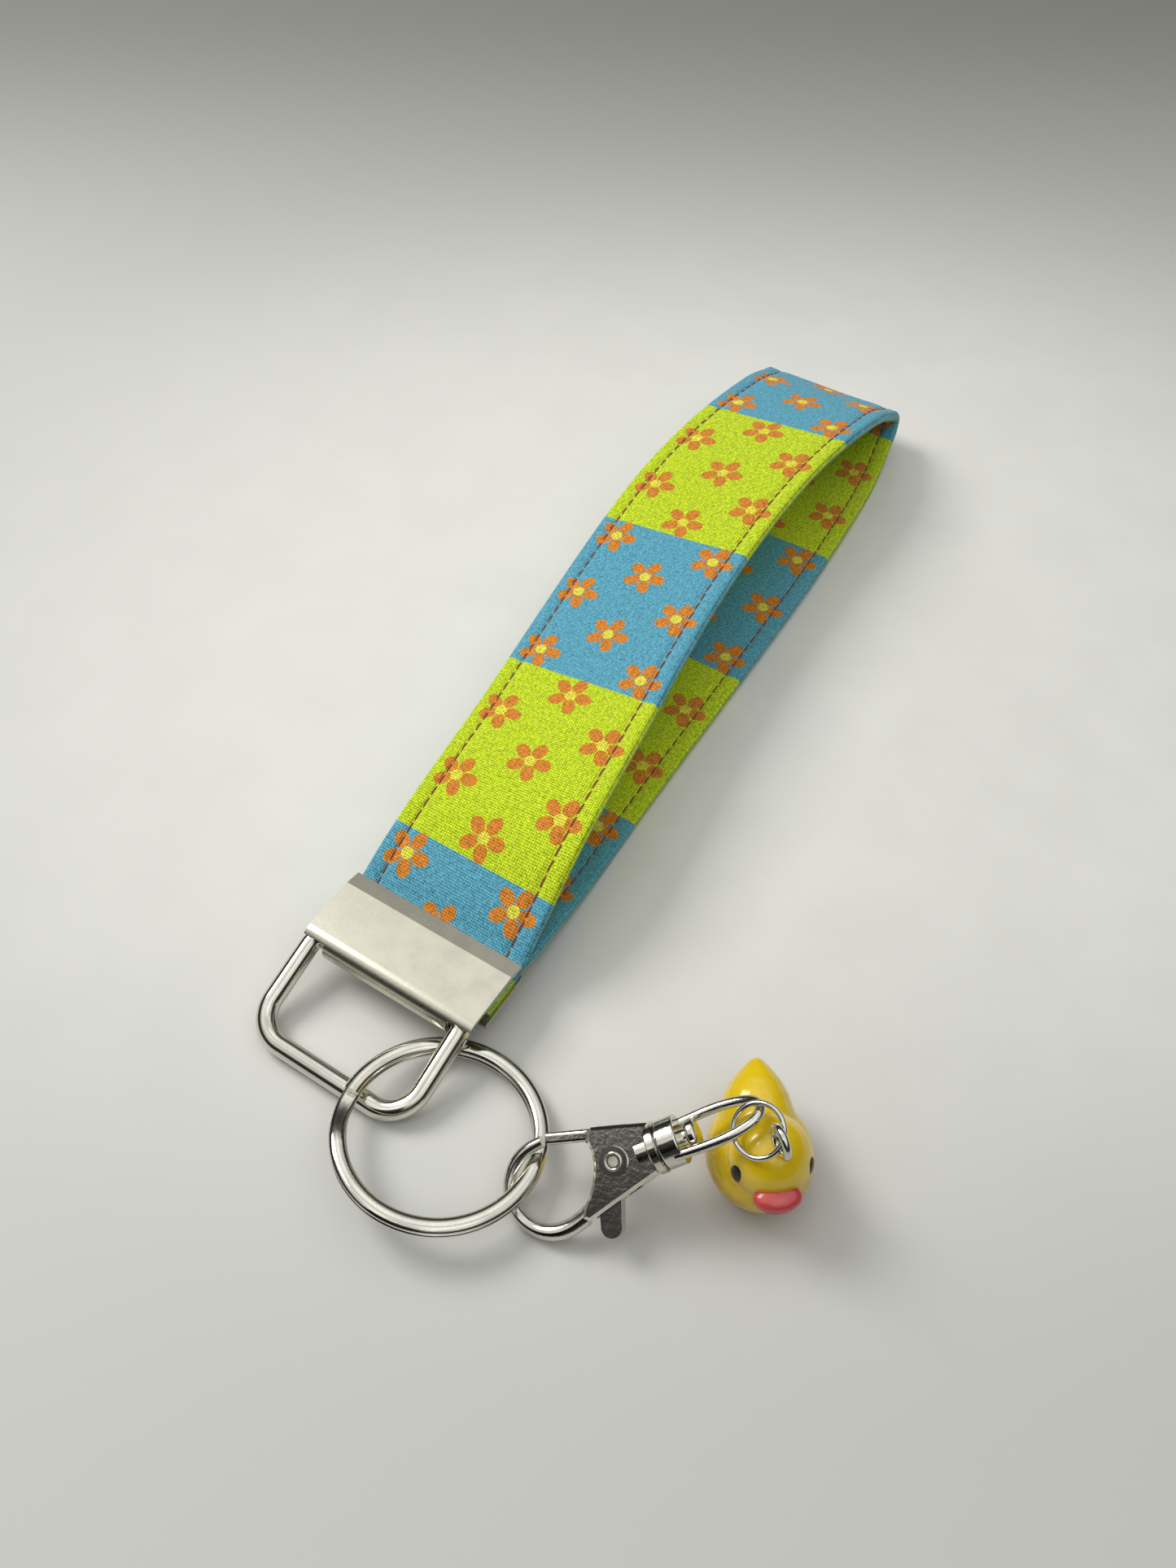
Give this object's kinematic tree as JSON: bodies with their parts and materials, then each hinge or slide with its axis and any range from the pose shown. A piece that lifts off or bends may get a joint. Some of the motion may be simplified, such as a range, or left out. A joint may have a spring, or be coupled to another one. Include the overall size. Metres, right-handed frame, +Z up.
{
  "type": "wristlet keychain",
  "caption": "Folded cloth wrist strap in a sheet metal end clamp, with a hinged wire bail, a split key ring, a spring-gate swivel hook and a small duck charm",
  "frame": {"origin": "on the flat underside of the strap's lower ply, 60 mm from the clamp's strap-side edge, on the strap's resting plane", "axes": "+Y runs from the hardware to the strap's folded end, +X is to the right seen from above with the fold away, +Z is up off the surface it lies on"},
  "size_m": [0.0968, 0.2058, 0.023],
  "materials": {
    "printed_cloth": "fine woven cloth with a printed pattern",
    "thread": "twisted sewing thread",
    "clamp_nickel": "satin nickel plate on folded sheet",
    "bright_nickel": "bright nickel plate on drawn wire",
    "cast_nickel": "nickel plate on die-cast zinc",
    "spring_steel": "plain spring wire",
    "yellow_resin": "glossy moulded resin",
    "beak_resin": "glossy painted resin",
    "eye_resin": "glossy painted resin"
  },
  "bodies": {
    "strap": {"strap_cloth": "printed_cloth", "stitch_left": "thread", "stitch_right": "thread", "clamp_shell": "clamp_nickel"},
    "bail": {"swing_bail": "bright_nickel"},
    "ring": {"split_ring": "bright_nickel"},
    "hook": {"hook_body": "cast_nickel", "pivot_rivet": "bright_nickel", "gate_spring": "spring_steel", "swivel_stud": "bright_nickel"},
    "gate": {"gate_lever": "cast_nickel"},
    "eye": {"swivel_eye": "cast_nickel"},
    "link": {"jump_ring": "bright_nickel"},
    "charm": {"screw_eye": "bright_nickel", "duck_body": "yellow_resin", "duck_beak": "beak_resin", "duck_eye_left": "eye_resin", "duck_eye_right": "eye_resin"}
  },
  "joints": [
    {"name": "bail_hinge", "type": "hinge", "parent": "strap", "child": "bail", "pos_m": [-0.0007, -0.0722, 0.007], "axis": [1, 0, 0], "range_deg": [-15, 45]},
    {"name": "ring_link", "type": "hinge", "parent": "bail", "child": "ring", "pos_m": [0.01002, -0.08226, 0.00394], "axis": [0.4789, 0.8775, 0.0238], "range_deg": [-10, 20]},
    {"name": "hook_link", "type": "hinge", "parent": "ring", "child": "hook", "pos_m": [0.03414, -0.08644, 0.00402], "axis": [-0.1143, 0.9521, 0.2835], "range_deg": [-15, 15]},
    {"name": "gate_hinge", "type": "hinge", "parent": "hook", "child": "gate", "pos_m": [0.04608, -0.07871, 0.00912], "axis": [-0.0253, -0.5189, 0.8545], "range_deg": [0, 14], "stiffness_Nm_per_rad": 0.002, "springref_deg": -20.05},
    {"name": "swivel", "type": "hinge", "parent": "hook", "child": "eye", "pos_m": [0.05024, -0.07493, 0.01154], "axis": [0.6397, 0.6484, 0.4127], "continuous": true},
    {"name": "link_swing", "type": "hinge", "parent": "eye", "child": "link", "pos_m": [0.05964, -0.06729, 0.01791], "axis": [0.2316, 0.8734, 0.4285], "range_deg": [-15, 15]},
    {"name": "charm_link", "type": "hinge", "parent": "link", "child": "charm", "pos_m": [0.06504, -0.06766, 0.01883], "axis": [-0.4099, 0.7023, 0.582], "range_deg": [-25, 4]}
  ]
}
